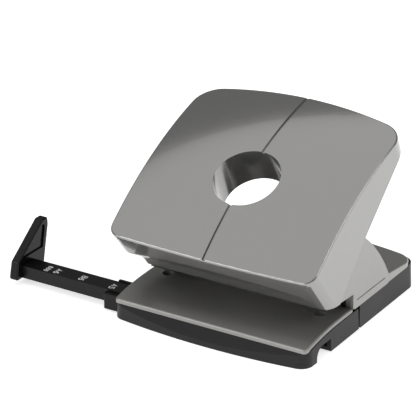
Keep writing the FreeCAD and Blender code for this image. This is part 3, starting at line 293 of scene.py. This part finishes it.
def coil_spring(side, middle_x, middle_y):
    """Coil that stands on the frame's upper jaw, drawn at one fixed length.

    It rides on the base, as the frames do, because its lower end never moves.
    """
    verts, faces = [], []
    steps = round(COIL_TURNS * STEPS_PER_TURN)
    for i in range(steps + 1):
        turn = 2 * math.pi * i / STEPS_PER_TURN
        out = Vector((math.cos(turn), math.sin(turn), 0))
        centre = Vector((middle_x, middle_y, COIL_BOTTOM + COIL_HEIGHT * i / steps))
        centre += out * COIL_RADIUS
        for k in range(SIDES_OF_WIRE):
            around = 2 * math.pi * k / SIDES_OF_WIRE
            spoke = out * math.cos(around) + Vector((0, 0, math.sin(around)))
            verts.append((centre + spoke * WIRE_RADIUS) * MM)
    for i in range(steps):
        for k in range(SIDES_OF_WIRE):
            a = i * SIDES_OF_WIRE + k
            b = i * SIDES_OF_WIRE + (k + 1) % SIDES_OF_WIRE
            faces.append((a, a + SIDES_OF_WIRE, b + SIDES_OF_WIRE, b))
    faces.append(tuple(range(SIDES_OF_WIRE)))
    faces.append(tuple(reversed(range(steps * SIDES_OF_WIRE, (steps + 1) * SIDES_OF_WIRE))))
    mesh = bpy.data.meshes.new("coil_" + side)
    mesh.from_pydata(verts, [], faces)
    mesh.materials.append(steel)
    mesh.polygons.foreach_set("use_smooth", [len(f) == 4 for f in faces])
    thing = bpy.data.objects.new("coil_" + side, mesh)
    bpy.context.scene.collection.objects.link(thing)
    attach(thing, "base")
    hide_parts("punch_spring_" + side)
    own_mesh(thing)


coil_spring("left", -PIN_X, PIN_Y)
coil_spring("right", PIN_X, PIN_Y)


# ---------------------------------------------------------------- studio

AZIMUTH = math.radians(31.68)
ELEVATION = math.radians(23.72)
DISTANCE = 0.99745
LENS = 199.04
SENSOR_WIDTH = 36
AIM = Vector((-0.00009, -0.050, 0.0654))
FLOOR_REACH = 4.0
FLOOR_GAP = 0.0002
FLOOR_GLOW = 0.62
WORLD_STRENGTH = 0.20


def look(thing, spot, aim):
    thing.location = spot
    thing.rotation_euler = (Vector(aim) - Vector(spot)).to_track_quat("-Z", "Y").to_euler()


def camera():
    data = bpy.data.cameras.new("camera")
    data.lens = LENS
    data.sensor_width = SENSOR_WIDTH
    data.clip_start = 0.05
    data.clip_end = 50
    thing = bpy.data.objects.new("camera", data)
    bpy.context.scene.collection.objects.link(thing)
    back = Vector((
        math.sin(AZIMUTH) * math.cos(ELEVATION),
        -math.cos(AZIMUTH) * math.cos(ELEVATION),
        math.sin(ELEVATION),
    ))
    look(thing, AIM + back * DISTANCE, AIM)
    bpy.context.scene.camera = thing


def softbox(name, corners, power):
    """A rectangular light through three corners, clockwise as the object sees them."""
    a, b, c = (Vector(p) for p in corners)
    along, up = b - a, c - b
    data = bpy.data.lights.new(name, "AREA")
    data.shape = "RECTANGLE"
    data.size = along.length
    data.size_y = up.length
    data.energy = power
    thing = bpy.data.objects.new(name, data)
    bpy.context.scene.collection.objects.link(thing)
    x, y = along.normalized(), up.normalized()
    z = x.cross(y)
    turn = thing.matrix_world.to_3x3()
    turn.col[0], turn.col[1], turn.col[2] = x, y, z
    thing.matrix_world = turn.to_4x4()
    thing.location = (a + c) / 2


def floor():
    """A large pale floor that glows a little, like a light table; not part of the object."""
    mesh = bpy.data.meshes.new("floor")
    reach = FLOOR_REACH
    mesh.from_pydata(
        [(-reach, -reach, 0), (reach, -reach, 0), (reach, reach, 0), (-reach, reach, 0)],
        [],
        [(0, 1, 2, 3)],
    )
    thing = bpy.data.objects.new("floor", mesh)
    bpy.context.scene.collection.objects.link(thing)
    material, tree, main = shader("floor_paper", (0.93, 0.93, 0.93), 0.9, specular=0.1)
    main.inputs["Emission Color"].default_value = (1, 1, 1, 1)
    main.inputs["Emission Strength"].default_value = FLOOR_GLOW
    mesh.materials.append(material)
    thing.location.z = -FLOOR_GAP


def world():
    scene_world = bpy.data.worlds.new("studio")
    bpy.context.scene.world = scene_world
    scene_world.use_nodes = True
    background = scene_world.node_tree.nodes["Background"]
    background.inputs["Color"].default_value = (1, 1, 1, 1)
    background.inputs["Strength"].default_value = WORLD_STRENGTH


camera()
floor()
world()
# Overhead light whose rear edge crosses the handle's face in its reflection.
softbox("overhead", ((-0.353, 1.219, 1.2), (-1.527, -0.503, 1.2), (-0.205, -1.404, 1.2)), 8.6)
# Upright light at the front left, seen in the rounded front edges.
softbox("front", ((-1.5, -1.3, 0.35), (0.1, -2.0, 0.35), (0.1, -1.9, 1.15)), 16)
# Light at the back right, seen in the rounded right edge of the face.
softbox("right", ((1.3, -0.3, 0.5), (1.3, 0.9, 0.5), (1.15, 0.9, 1.2)), 9)
